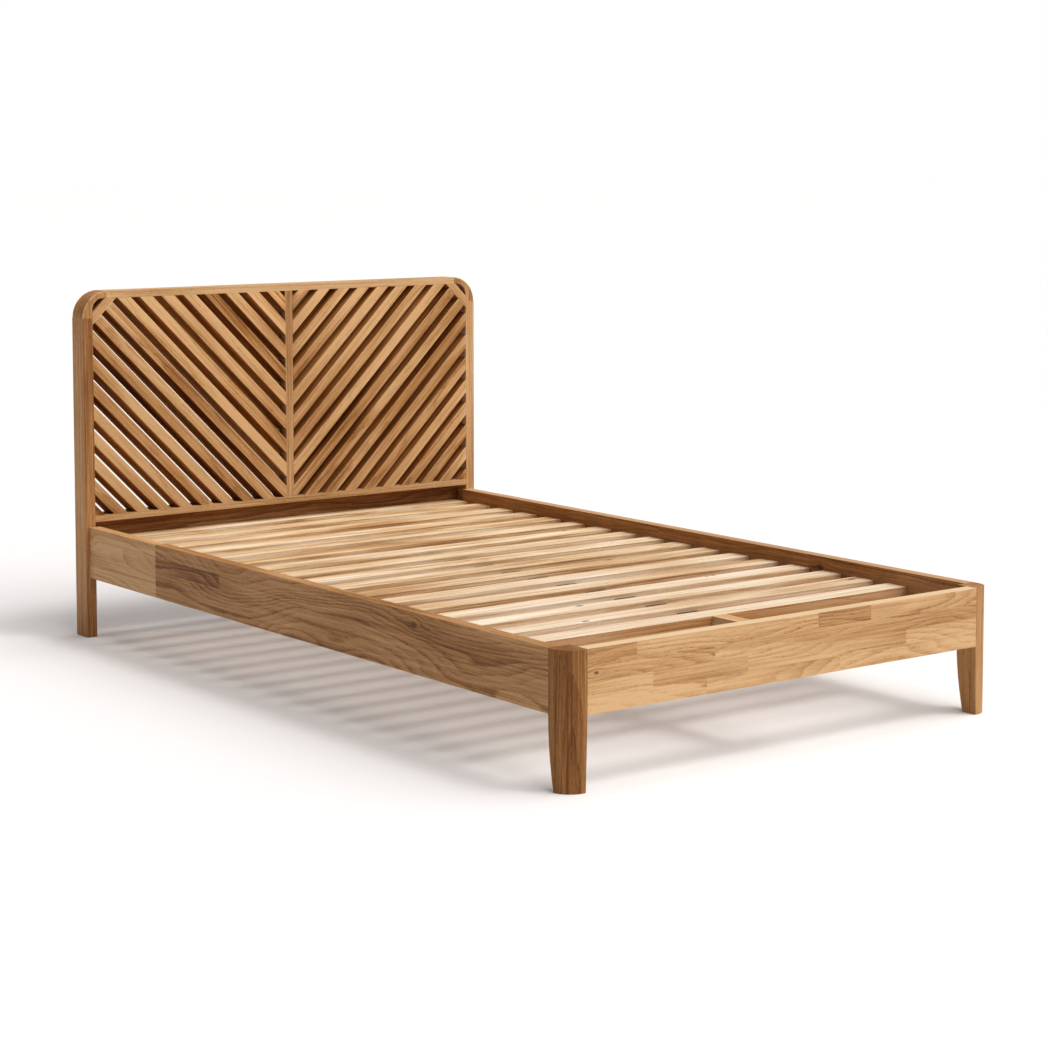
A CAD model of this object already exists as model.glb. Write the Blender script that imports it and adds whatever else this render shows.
# Looks of an oak bed frame with a lattice headboard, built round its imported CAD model.
# Metres, in the model's own frame: +X right seen from the foot, +Y towards the headboard, +Z up.
import math
import random

import bmesh
import bpy
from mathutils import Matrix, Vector


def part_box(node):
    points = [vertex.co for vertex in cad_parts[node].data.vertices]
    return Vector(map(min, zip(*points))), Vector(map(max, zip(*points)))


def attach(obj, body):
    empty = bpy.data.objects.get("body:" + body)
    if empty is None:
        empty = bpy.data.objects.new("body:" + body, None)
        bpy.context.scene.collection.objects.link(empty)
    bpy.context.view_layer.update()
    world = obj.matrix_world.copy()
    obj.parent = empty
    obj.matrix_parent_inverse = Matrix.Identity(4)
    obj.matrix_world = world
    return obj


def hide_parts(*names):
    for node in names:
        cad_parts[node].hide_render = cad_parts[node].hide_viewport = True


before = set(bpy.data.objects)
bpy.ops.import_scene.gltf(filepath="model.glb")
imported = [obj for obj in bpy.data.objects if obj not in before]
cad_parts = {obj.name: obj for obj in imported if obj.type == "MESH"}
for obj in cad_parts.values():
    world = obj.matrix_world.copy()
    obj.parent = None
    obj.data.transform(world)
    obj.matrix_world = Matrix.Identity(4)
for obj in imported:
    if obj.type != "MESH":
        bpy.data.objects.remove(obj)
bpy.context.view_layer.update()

MM = 0.001
JOINT_REACH = 0.05 * MM        # how near a joint's plane a point counts as in it
MERGE = 0.01 * MM
FLAT_ANGLE = math.radians(0.5)
EDGE_ANGLE = math.radians(30)
SMOOTH_ANGLE = math.radians(40)
EASE_SEGMENTS = 3
PARALLEL = 0.99                # cosine from which an edge counts as running along a piece


# ---------- camera, floor and light ----------

def make_camera():
    """A long lens at the front left, a little above the headboard."""
    data = bpy.data.cameras.new("camera")
    data.lens = 85.35
    data.sensor_width = 36
    data.shift_y = -0.1565
    data.clip_end = 200
    camera = bpy.data.objects.new("camera", data)
    camera.location = (-3.7137, -4.9835, 1.3269)
    camera.rotation_euler = (math.radians(90 - 4.9424), 0, math.radians(-37.2053))
    bpy.context.scene.collection.objects.link(camera)
    bpy.context.scene.camera = camera


def make_floor():
    """A pale studio floor."""
    half = 60
    mesh = bpy.data.meshes.new("floor")
    corners = [(-half, -half, 0), (half, -half, 0), (half, half, 0), (-half, half, 0)]
    mesh.from_pydata(corners, [], [(0, 1, 2, 3)])
    floor = bpy.data.objects.new("floor", mesh)
    bpy.context.scene.collection.objects.link(floor)
    material = bpy.data.materials.new("floor_paint")
    material.use_nodes = True
    shader = material.node_tree.nodes["Principled BSDF"]
    shader.inputs["Base Color"].default_value = (0.80, 0.787, 0.79, 1)
    shader.inputs["Roughness"].default_value = 0.9
    shader.inputs["Specular IOR Level"].default_value = 0.1
    mesh.materials.append(material)


def add_sun(name, energy, spread, travel):
    """A lamp whose light travels along a direction; spread is the angle it fills in the sky."""
    data = bpy.data.lights.new(name, "SUN")
    data.energy = energy
    data.angle = math.radians(spread)
    data.color = (1, 0.98, 0.965)
    sun = bpy.data.objects.new(name, data)
    sun.rotation_euler = Vector(travel).to_track_quat("-Z", "Y").to_euler()
    bpy.context.scene.collection.objects.link(sun)


def make_light():
    """A key light and a much larger soft box, both high at the front right, in a white room."""
    add_sun("key", 0.75, 15, (-0.36, 0.42, -1.0))
    add_sun("soft_box", 3.5, 78, (-0.42, 0.50, -1.0))

    world = bpy.data.worlds.new("room")
    world.use_nodes = True
    bpy.context.scene.world = world
    tree = world.node_tree
    tree.nodes.clear()
    room = add(tree, "ShaderNodeBackground", Color=(1, 0.99, 0.98, 1), Strength=0.2)
    seen = add(tree, "ShaderNodeBackground", Color=(1, 1, 1, 1), Strength=1.0)
    path = add(tree, "ShaderNodeLightPath")
    pick = add(tree, "ShaderNodeMixShader", Fac=path.outputs["Is Camera Ray"])
    tree.links.new(room.outputs[0], pick.inputs[1])
    tree.links.new(seen.outputs[0], pick.inputs[2])
    out = add(tree, "ShaderNodeOutputWorld")
    tree.links.new(pick.outputs[0], out.inputs["Surface"])
    bpy.context.scene.view_settings.view_transform = "Standard"


# ---------- shader helpers ----------

def put(tree, socket, value):
    """Links value to socket if it is an output, and otherwise sets it."""
    if isinstance(value, bpy.types.NodeSocket):
        tree.links.new(value, socket)
    else:
        socket.default_value = value


def add(tree, kind, settings=None, **inputs):
    """A new node with its settings and its inputs. An underscore in an input's name is a space."""
    made = tree.nodes.new(kind)
    for name, value in (settings or {}).items():
        setattr(made, name, value)
    for name, value in inputs.items():
        put(tree, made.inputs[name.replace("_", " ")], value)
    return made


def split(tree, vector):
    """The three numbers of a vector."""
    return add(tree, "ShaderNodeSeparateXYZ", Vector=vector).outputs


def object_place(tree):
    """Places in the object's own coordinates, which are the model's."""
    return add(tree, "ShaderNodeTexCoord").outputs["Object"]


def random_from(tree, number):
    """A node that gives a random value and colour of its own to every number."""
    return add(tree, "ShaderNodeTexWhiteNoise", {"noise_dimensions": "1D"}, W=number)


def maths(tree, operation, *values, clamp=False):
    made = tree.nodes.new("ShaderNodeMath")
    made.operation = operation
    made.use_clamp = clamp
    for socket, value in zip(made.inputs, values):
        put(tree, socket, value)
    return made.outputs[0]


def vector_maths(tree, operation, *values):
    made = tree.nodes.new("ShaderNodeVectorMath")
    made.operation = operation
    for socket, value in zip(made.inputs, values):
        put(tree, socket, value)
    return made.outputs["Value" if operation == "LENGTH" else "Vector"]


def noise(tree, vector, stretch, detail=2.0, roughness=0.5, colour=False):
    """Noise with its own number of waves per metre along each axis."""
    scaled = vector_maths(tree, "MULTIPLY", vector, stretch)
    made = add(tree, "ShaderNodeTexNoise", Vector=scaled, Scale=1.0, Detail=detail, Roughness=roughness)
    return made.outputs["Color" if colour else "Fac"]


def remap(tree, value, low, high, to_low=0.0, to_high=1.0, smooth=True):
    made = tree.nodes.new("ShaderNodeMapRange")
    made.interpolation_type = "SMOOTHSTEP" if smooth else "LINEAR"
    for socket, given in zip(made.inputs, (value, low, high, to_low, to_high)):
        put(tree, socket, given)
    return made.outputs[0]


def ramp(tree, value, stops, interpolation="LINEAR"):
    """A colour ramp; stops are (position, (r, g, b))."""
    made = tree.nodes.new("ShaderNodeValToRGB")
    made.color_ramp.interpolation = interpolation
    points = made.color_ramp.elements
    while len(points) < len(stops):
        points.new(0.5)
    for point, (position, colour) in zip(points, stops):
        point.position = position
        point.color = (*colour, 1)
    put(tree, made.inputs[0], value)
    return made.outputs[0]


def mix_colour(tree, amount, colour, fixed, blend="MIX"):
    """A colour mixed with a fixed one, by an amount from 0 to 1."""
    made = tree.nodes.new("ShaderNodeMix")
    made.data_type = "RGBA"
    made.blend_type = blend
    put(tree, made.inputs[0], amount)
    put(tree, made.inputs[6], colour)
    made.inputs[7].default_value = (*fixed, 1)
    return made.outputs[2]


def mix_value(tree, factor, a, b):
    made = tree.nodes.new("ShaderNodeMix")
    for number, value in ((0, factor), (2, a), (3, b)):
        put(tree, made.inputs[number], value)
    return made.outputs[0]


# ---------- wood ----------

TAPER = 0.012                  # how little a place along the board counts in a ring's radius
WOBBLE = 0.008                 # metres over which the rings waver
HEART_ACROSS = 0.03            # from a board's middle to the pith, across its face and behind it
HEART_BEHIND = 0.07
MIDDLE_LEVEL = 0.56            # where a piece of tone 0 lies on its palette
HALVES_APART = 3.7             # between the grain of the lattice's two halves
STAVE_CODE = 61.7              # makes a seed of a stave's tone
STAVE_JUMP = (5, 0.06, 0.05)   # the most by which the grain shifts from stave to stave
SEAM_REACH = 0.025             # a glue line's half width, as a share of a row
SEAM_STEP = 0.001              # the least difference in tone that shows a glue line
SEAM_TONE = -0.08
TOP_GAP = 0.001                # keeps a rail's upper edge inside its last row, in rows


def make_grain_group():
    """Oak whose grain runs along X. Pith is where the tree's heart lies from the board's own middle.
    Fibre and Mottle vary about 0; Rings and Pores go from 0 to 1."""
    tree = bpy.data.node_groups.new("oak_grain", "ShaderNodeTree")
    face = tree.interface
    face.new_socket("Vector", in_out="INPUT", socket_type="NodeSocketVector")
    face.new_socket("Pith", in_out="INPUT", socket_type="NodeSocketVector")
    for name in ("Ring width", "Wander"):
        face.new_socket(name, in_out="INPUT", socket_type="NodeSocketFloat")
    for name in ("Fibre", "Mottle", "Rings", "Pores"):
        face.new_socket(name, in_out="OUTPUT", socket_type="NodeSocketFloat")
    start = tree.nodes.new("NodeGroupInput").outputs
    vector = start["Vector"]

    # growth rings round a heart that wanders slowly along the board
    slow = noise(tree, vector, (1.3, 4.5, 4.5), detail=2, roughness=0.45, colour=True)
    centred = vector_maths(tree, "SUBTRACT", slow, (0.5, 0.5, 0.5))
    wander = vector_maths(tree, "SCALE", centred)
    put(tree, wander.node.inputs["Scale"], start["Wander"])
    moved = vector_maths(tree, "ADD", vector_maths(tree, "SUBTRACT", vector, start["Pith"]), wander)
    radius = vector_maths(tree, "LENGTH", vector_maths(tree, "MULTIPLY", moved, (TAPER, 1, 1)))
    wobble = maths(tree, "SUBTRACT", noise(tree, vector, (5, 42, 42), detail=3), 0.5)
    radius = maths(tree, "MULTIPLY_ADD", wobble, WOBBLE, radius)
    count = maths(tree, "DIVIDE", radius, start["Ring width"])
    ring = maths(tree, "FRACT", count)
    early = maths(tree, "POWER", maths(tree, "SUBTRACT", 1.0, ring), 1.8)
    late = remap(tree, ring, 0.8, 1.0)

    # a dry year's ring is faint, and the edge of the ring next to it fades with it
    year = maths(tree, "FLOOR", count)
    strength = random_from(tree, year).outputs["Value"]
    early = maths(tree, "MULTIPLY", early, maths(tree, "MULTIPLY_ADD", strength, 0.8, 0.2))
    strength = random_from(tree, maths(tree, "ADD", year, 1.0)).outputs["Value"]
    late = maths(tree, "MULTIPLY", late, maths(tree, "MULTIPLY_ADD", strength, 0.8, 0.2))
    rings = maths(tree, "MAXIMUM", early, late)

    streak = noise(tree, vector, (2.8, 230, 230), detail=5, roughness=0.66)
    mottle = noise(tree, vector, (2.2, 15, 15), detail=3, roughness=0.55)
    fine = noise(tree, vector, (70, 1500, 1500), detail=1)
    crowded = maths(tree, "MULTIPLY_ADD", rings, 0.75, 0.25)
    pores = maths(tree, "MULTIPLY", remap(tree, fine, 0.56, 0.66), crowded)
    end = tree.nodes.new("NodeGroupOutput").inputs
    put(tree, end["Fibre"], maths(tree, "SUBTRACT", streak, 0.5))
    put(tree, end["Mottle"], maths(tree, "SUBTRACT", mottle, 0.5))
    put(tree, end["Rings"], rings)
    put(tree, end["Pores"], pores)
    return tree


# Palettes run from dark to pale
OAK = [(0.0, (0.120, 0.040, 0.010)), (0.3, (0.255, 0.112, 0.036)),
       (0.58, (0.420, 0.218, 0.086)), (1.0, (0.620, 0.390, 0.195))]
PALE = [(0.0, (0.340, 0.170, 0.065)), (0.3, (0.570, 0.355, 0.175)),
        (0.6, (0.740, 0.570, 0.380)), (1.0, (0.860, 0.770, 0.640))]
DARK = [(0.0, (0.020, 0.011, 0.006)), (0.5, (0.052, 0.028, 0.014)), (1.0, (0.110, 0.062, 0.034))]
BEECH = [(0.0, (0.330, 0.190, 0.095)), (0.5, (0.520, 0.335, 0.190)), (1.0, (0.640, 0.450, 0.280))]
KNOT = (0.075, 0.028, 0.010)
PLANED = (0.74, 0.55, 0.34)
HANDLED = (0.84, 0.64, 0.42)
SAWN = (0.60, 0.38, 0.20)


def along_grain(tree, direction):
    """Object coordinates in the order along the grain, across the face seen most, and behind it, such as
    "xzy". "fall" is the lattice's slant in both halves, and "rise" the corner braces'."""
    axes = dict(zip("xyz", split(tree, object_place(tree))))
    if direction in ("fall", "rise"):
        half = maths(tree, "SIGN", axes["x"])
        inward = maths(tree, "MULTIPLY", maths(tree, "ABSOLUTE", axes["x"]), -1.0)
        rise = maths(tree, "MULTIPLY", maths(tree, "ADD", axes["z"], inward), math.sqrt(0.5))
        fall = maths(tree, "MULTIPLY", maths(tree, "SUBTRACT", axes["z"], inward), math.sqrt(0.5))
        along, across = (fall, rise) if direction == "fall" else (rise, fall)
        order = [maths(tree, "MULTIPLY_ADD", half, HALVES_APART, along), across, axes["y"]]
    else:
        order = [axes[letter] for letter in direction]
    return add(tree, "ShaderNodeCombineXYZ", X=order[0], Y=order[1], Z=order[2]).outputs[0]


def bend_round_knots(tree, vector, knots):
    """Bends the grain round knots, each (along, across, size), and says where they are dark."""
    dark = 0.0
    for along, across, size in knots:
        away = vector_maths(tree, "SUBTRACT", vector, (along, across, 0))
        scaled = vector_maths(tree, "MULTIPLY", away, (0.5 / size, 1 / size, 0))
        distance = vector_maths(tree, "LENGTH", scaled)
        pull = vector_maths(tree, "SCALE", vector_maths(tree, "MULTIPLY", away, (0, -0.8, 0)))
        put(tree, pull.node.inputs["Scale"], remap(tree, distance, 4.0, 0.4))
        vector = vector_maths(tree, "ADD", vector, pull)
        dark = maths(tree, "MAXIMUM", dark, remap(tree, distance, 1.1, 0.5))
    return vector, dark


def wood(name, direction, colours=OAK, tone=0.0, tint=None, ring=0.0034, wander=0.05, figure=0.35,
         fibre=1.3, mottle=0.9, pores=0.5, gloss=0.45, staves=None, sawn=0.0, front=0.0, sides=None,
         top=0.0, shine=0.15, knots=()):
    """Procedural timber, its grain along a direction that along_grain knows. tone shifts the whole piece
    lighter or darker, front only its front and back. tint stains the whole piece, and sides the faces
    between front and back. top pales the level faces. ring is the rings' width and wander how far their
    heart strays. figure, fibre, mottle and pores are the strengths of the rings, the fine streaks, the
    broad patches and the pores. gloss is the roughness and shine the reflection's strength. sawn darkens
    the narrow edges of a board that is planed only on top. staves comes from stave_rows."""
    seed = random.Random(name)
    material = bpy.data.materials.new(name)
    material.use_nodes = True
    tree = material.node_tree
    vector = along_grain(tree, direction)
    if knots:
        vector, dark = bend_round_knots(tree, vector, knots)
    shift = Vector((seed.uniform(-9, 9), seed.uniform(-0.4, 0.4), seed.uniform(-0.4, 0.4)))
    pith = Vector((0, seed.choice((-1, 1)) * HEART_ACROSS, -HEART_BEHIND)) + shift
    vector = vector_maths(tree, "ADD", vector, shift)
    level = tone + MIDDLE_LEVEL
    if staves:
        stave_tone, jump = staves(tree)
        level = maths(tree, "ADD", stave_tone, level)
        vector = vector_maths(tree, "ADD", vector, jump)
    grain = add(tree, "ShaderNodeGroup", {"node_tree": GRAIN}, Vector=vector, Pith=pith,
                Ring_width=ring, Wander=wander).outputs

    facing = split(tree, add(tree, "ShaderNodeNewGeometry").outputs["Normal"])
    outward = maths(tree, "ABSOLUTE", facing[1])
    upward = maths(tree, "ABSOLUTE", facing[2])
    if front:
        level = maths(tree, "MULTIPLY_ADD", outward, front, level)
    level = maths(tree, "MULTIPLY_ADD", grain["Fibre"], fibre, level)
    level = maths(tree, "MULTIPLY_ADD", grain["Mottle"], mottle, level)
    level = maths(tree, "MULTIPLY_ADD", grain["Rings"], -figure, level)
    level = maths(tree, "MULTIPLY_ADD", grain["Pores"], -pores, level, clamp=True)
    colour = ramp(tree, level, colours)
    if tint:
        colour = mix_colour(tree, 1.0, colour, tint, "MULTIPLY")
    if sides:
        colour = mix_colour(tree, maths(tree, "SUBTRACT", 1.0, outward), colour, sides, "MULTIPLY")
    if top:
        colour = mix_colour(tree, maths(tree, "MULTIPLY", upward, top), colour, PLANED)
    if knots:
        colour = mix_colour(tree, maths(tree, "MULTIPLY", dark, 0.8), colour, KNOT)
    if sawn:
        narrow = remap(tree, upward, 0.75, 0.3)
        colour = mix_colour(tree, maths(tree, "MULTIPLY", narrow, sawn), colour, SAWN, "MULTIPLY")

    # handled edges are a little paler and smoother, in patches
    eased = add(tree, "ShaderNodeAttribute", {"attribute_name": "eased"}).outputs["Fac"]
    patches = remap(tree, noise(tree, vector, (9, 60, 60), detail=2), 0.3, 0.6)
    worn = maths(tree, "MULTIPLY", eased, patches)
    colour = mix_colour(tree, maths(tree, "MULTIPLY", worn, 0.3), colour, HANDLED)

    rough = maths(tree, "MULTIPLY_ADD", grain["Pores"], 0.22, gloss)
    rough = maths(tree, "MULTIPLY_ADD", noise(tree, vector, (4, 30, 30), detail=2), 0.14, rough)
    rough = maths(tree, "MULTIPLY_ADD", worn, -0.08, rough)
    height = maths(tree, "MULTIPLY", grain["Fibre"], 0.5)
    height = maths(tree, "MULTIPLY_ADD", grain["Pores"], -1.0, height)
    height = maths(tree, "MULTIPLY_ADD", grain["Rings"], -0.25, height)
    bump = add(tree, "ShaderNodeBump", Height=height, Strength=0.35, Distance=0.0004)
    shader = tree.nodes["Principled BSDF"]
    put(tree, shader.inputs["Base Color"], colour)
    put(tree, shader.inputs["Roughness"], rough)
    put(tree, shader.inputs["Normal"], bump.outputs[0])
    shader.inputs["Specular IOR Level"].default_value = shine
    return material


def stave_rows(along, low, high, rows):
    """Edge-glued staves along axis 0 or 1. rows go from the lowest up, each a list of (where the stave
    ends, its tone), the end as a share of the rail's length. Neighbours of one tone are one wide stave.
    Returns a function that gives a tone and a jump in the grain."""
    def build(tree):
        parts = split(tree, object_place(tree))
        share = remap(tree, parts[along], low[along], high[along], smooth=False)
        height = remap(tree, parts[2], low[2], high[2], 0.0, len(rows) - TOP_GAP, smooth=False)
        tones = []
        for row_staves in rows:
            starts = [0.0] + [end for end, _ in row_staves[:-1]]
            stops = [(start, (grey, grey, grey)) for start, (_, grey) in zip(starts, row_staves)]
            tones.append(ramp(tree, share, stops, "CONSTANT"))

        def tone_at(row):
            value = tones[0]
            for number, above in enumerate(tones[1:], 1):
                value = mix_value(tree, maths(tree, "GREATER_THAN", row, float(number)), value, above)
            return value

        value = tone_at(height)
        jump = random_from(tree, maths(tree, "MULTIPLY", value, STAVE_CODE)).outputs["Color"]
        jump = vector_maths(tree, "MULTIPLY", jump, STAVE_JUMP)
        above = tone_at(maths(tree, "ADD", height, SEAM_REACH))
        below = tone_at(maths(tree, "SUBTRACT", height, SEAM_REACH))
        step = maths(tree, "ABSOLUTE", maths(tree, "SUBTRACT", above, below))
        seam = maths(tree, "MULTIPLY", maths(tree, "GREATER_THAN", step, SEAM_STEP), SEAM_TONE)
        return maths(tree, "MULTIPLY_ADD", maths(tree, "SUBTRACT", value, 0.5), 0.9, seam), jump
    return build


def steel(name):
    """Zinc-plated steel with a faint crystalline bloom."""
    material = bpy.data.materials.new(name)
    material.use_nodes = True
    tree = material.node_tree
    bloom = noise(tree, object_place(tree), (220, 220, 220), detail=4, roughness=0.6)
    colour = ramp(tree, bloom, [(0.3, (0.46, 0.47, 0.49)), (0.7, (0.66, 0.67, 0.70))])
    shader = tree.nodes["Principled BSDF"]
    put(tree, shader.inputs["Base Color"], colour)
    put(tree, shader.inputs["Roughness"], remap(tree, bloom, 0.3, 0.7, 0.28, 0.48))
    shader.inputs["Metallic"].default_value = 1.0
    return material


# ---------- pieces ----------

def flat_joint(axis, value):
    """A test for edges that lie in the plane where a piece is glued or bolted to its neighbour."""
    def test(edge):
        return all(abs(vertex.co[axis] - value) < JOINT_REACH for vertex in edge.verts)
    return test


def grain_edges_only(direction):
    """A test that spares every edge that doesn't run along the piece."""
    half = math.sqrt(0.5)
    ways = {"x": [(1, 0, 0)], "y": [(0, 1, 0)], "z": [(0, 0, 1)],
            "slant": [(-half, 0, half), (half, 0, half)]}
    along = [Vector(way) for way in ways[direction]]

    def test(edge):
        run = (edge.verts[1].co - edge.verts[0].co).normalized()
        return max(abs(run.dot(way)) for way in along) < PARALLEL
    return test


def timber(node, material, radius, spared=()):
    """A copy of a CAD node with its edges eased to a radius, which stands for the node. Edges for which
    one of the spared tests is true stay sharp."""
    bm = bmesh.new()
    bm.from_mesh(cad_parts[node].data)
    bmesh.ops.remove_doubles(bm, verts=bm.verts, dist=MERGE)
    bmesh.ops.dissolve_limit(bm, angle_limit=FLAT_ANGLE, verts=bm.verts, edges=bm.edges)
    bm.normal_update()
    eased = bm.faces.layers.float.new("eased")
    sharp = [edge for edge in bm.edges
             if edge.is_manifold and edge.calc_face_angle() > EDGE_ANGLE and edge.is_convex
             and not any(test(edge) for test in spared)]
    made = bmesh.ops.bevel(bm, geom=sharp, offset=radius, offset_type="OFFSET", affect="EDGES",
                           segments=EASE_SEGMENTS, profile=0.5, clamp_overlap=True)
    for face in made["faces"]:
        face[eased] = 1.0
    for face in bm.faces:
        face.smooth = True
    mesh = bpy.data.meshes.new(node + "_timber")
    bm.to_mesh(mesh)
    bm.free()
    mesh.set_sharp_from_angle(angle=SMOOTH_ANGLE)
    mesh.materials.append(material)
    piece = bpy.data.objects.new(node + "_timber", mesh)
    bpy.context.scene.collection.objects.link(piece)
    weighted = piece.modifiers.new("normals", "WEIGHTED_NORMAL")
    weighted.keep_sharp = True
    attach(piece, "root")
    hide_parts(node)


def paint(node, material):
    """Gives a CAD node that keeps its own mesh a better material."""
    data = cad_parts[node].data
    data.materials.clear()
    data.materials.append(material)


GRAIN = make_grain_group()
make_camera()
make_floor()
make_light()

ALONG_X = [grain_edges_only("x")]
ALONG_Y = [grain_edges_only("y")]
ALONG_Z = [grain_edges_only("z")]
SLANTED = [grain_edges_only("slant")]
post_end = flat_joint(2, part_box("head_post_left")[1].z)

# Posts and their corner blocks
POST_LOOKS = {"left": {"tone": 0.17, "front": -0.32, "tint": (1, 0.94, 0.88)},
              "right": {"tone": 0.16, "front": 0.08}}
for side, inner in (("left", 1), ("right", 0)):
    look = wood("post_" + side, "zxy", figure=0.25, **POST_LOOKS[side])
    timber("head_post_" + side, look, 3.5 * MM, [post_end])
    inner_end = flat_joint(0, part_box("head_corner_" + side)[inner].x)
    look = wood("corner_" + side, "zxy", tone=0.05, tint=(1, 0.92, 0.84))
    timber("head_corner_" + side, look, 3 * MM, [post_end, inner_end])

# Headboard frame. The lattice and its braces are dull, and redder in the gaps.
LATTICE_LOOK = {"tint": (1, 0.975, 0.94), "sides": (1, 0.80, 0.56), "shine": 0.0}
timber("head_top_rail", wood("top_rail", "xzy", tone=0.38, figure=0.2), 2.5 * MM, ALONG_X)
timber("lattice_bottom_rail", wood("bottom_rail", "xzy", tone=0.28, figure=0.2), 1.5 * MM, ALONG_X)
timber("centre_muntin", wood("muntin", "zxy", tone=0.08, figure=0.25), 1.5 * MM, ALONG_Z)
timber("corner_braces", wood("braces", "rise", tone=-0.13, front=0.33, figure=0.2, **LATTICE_LOOK),
       1.2 * MM, SLANTED)
timber("head_rail", wood("head_rail", "xzy", tone=-0.12, tint=(1, 0.93, 0.86)), 2 * MM, ALONG_X)

# Lattice: every slat is its own board
for name in sorted(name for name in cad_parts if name.startswith("lattice_slat_")):
    tone = random.Random(name + " tone").uniform(-0.2, 0.2) - 0.11
    look = wood(name, "fall", tone=tone, front=0.37, mottle=1.8, figure=0.25, **LATTICE_LOOK)
    timber(name, look, 1.5 * MM, SLANTED)

# Side rails, foot rail and legs. Rows of staves go from the lowest up.
SIDE_ROWS = {
    "left": [
        [(0.82, 0.50), (1.0, 0.98)],
        [(0.82, 0.50), (1.0, 0.81)],
        [(0.66, 0.50), (0.82, 0.28), (1.0, 0.81)],
        [(0.82, 0.50), (1.0, 0.86)],
    ],
    "right": [
        [(0.40, 0.44), (1.0, 0.52)],
        [(0.40, 0.44), (1.0, 0.52)],
        [(0.26, 0.50), (0.71, 0.58), (1.0, 0.50)],
        [(0.26, 0.50), (0.55, 0.45), (1.0, 0.50)],
    ],
}
FOOT_ROWS = [
    [(0.28, 0.71), (0.62, 0.63), (1.0, 0.68)],
    [(0.15, 0.66), (0.38, 0.46), (0.80, 0.52), (1.0, 0.64)],
    [(0.30, 0.44), (0.50, 0.62), (1.0, 0.42)],
    [(0.11, 0.34), (0.56, 0.52), (0.70, 0.31), (1.0, 0.58)],
]
RAIL_LOOKS = {"left": {"tone": 0.05, "tint": (1, 0.98, 0.96)},
              "right": {"tone": 0.08, "tint": (1, 0.88, 0.76), "top": 0.3}}
for side, rows in SIDE_ROWS.items():
    low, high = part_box("side_rail_" + side)
    knot = (low.y + 0.24 * (high.y - low.y), low.z + 0.80 * (high.z - low.z), 7.5 * MM)
    look = wood("side_rail_" + side, "yzx", staves=stave_rows(1, low, high, rows), ring=0.0062,
                wander=0.13, figure=0.4, fibre=1.1, knots=[knot], **RAIL_LOOKS[side])
    timber("side_rail_" + side, look, 4 * MM, ALONG_Y)
low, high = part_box("foot_rail")
knot = (low.x + 0.02 * (high.x - low.x), low.z + 0.62 * (high.z - low.z), 4 * MM)
look = wood("foot_rail", "xzy", staves=stave_rows(0, low, high, FOOT_ROWS), tone=0.3, wander=0.1,
            ring=0.005, figure=0.3, fibre=0.9, top=0.8, knots=[knot])
timber("foot_rail", look, 4 * MM, ALONG_X)
for side, tone, tint in (("left", -0.19, (1, 0.985, 0.95)), ("right", 0.05, None)):
    look = wood("leg_" + side, "zxy", tone=tone, tint=tint, figure=0.2, fibre=1.0, shine=0.1)
    timber("foot_leg_" + side, look, 3 * MM)

# Cross slats, browner towards the head, and what carries them
cross_slats = sorted(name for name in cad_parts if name.startswith("cross_slat_"))
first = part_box(cross_slats[0])[0].y
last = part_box(cross_slats[-1])[0].y
for name in cross_slats:
    seed = random.Random(name + " look")
    low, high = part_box(name)
    share = (low.y - first) / (last - first)
    knots = [(seed.uniform(low.x, high.x), seed.uniform(low.y, high.y), seed.uniform(3, 8) * MM)
             for _ in range(seed.choice((0, 0, 1, 2)))]
    tone = 0.06 - 0.09 * share - 0.4 * share * (1 - share) + seed.uniform(-0.13, 0.13)
    tint = (1, 1.05 - 0.07 * share, 1.16 - 0.24 * share)
    edge = 0.9 if name == cross_slats[0] else 0.5 - 0.4 * share
    look = wood(name, "xyz", PALE, tone=tone, ring=0.004, figure=0.22, pores=0.25,
                fibre=1.7 + 0.8 * share, mottle=0.9 + 0.9 * share, tint=tint, gloss=0.6, sawn=edge,
                knots=knots)
    timber(name, look, 2.5 * MM, ALONG_X)
timber("centre_beam", wood("beam", "yzx", tone=0.35, figure=0.2, gloss=0.6), 1.5 * MM, ALONG_Y)
timber("centre_leg", wood("centre_leg", "zxy", tone=-0.05, gloss=0.6), 2 * MM, ALONG_Z)
timber("slat_spacers", wood("spacers", "xyz", DARK, figure=0.2, gloss=0.6), 1 * MM)
paint("slat_ledgers", wood("ledgers", "yzx", gloss=0.6, tone=-0.05))
paint("slat_pegs", wood("pegs", "zxy", BEECH, figure=0.2, gloss=0.55))
paint("dowels", wood("dowels", "xyz", BEECH, figure=0.2, gloss=0.55))
for name in ("rail_hook_plates", "rail_catch_plates", "screws"):
    paint(name, steel(name))
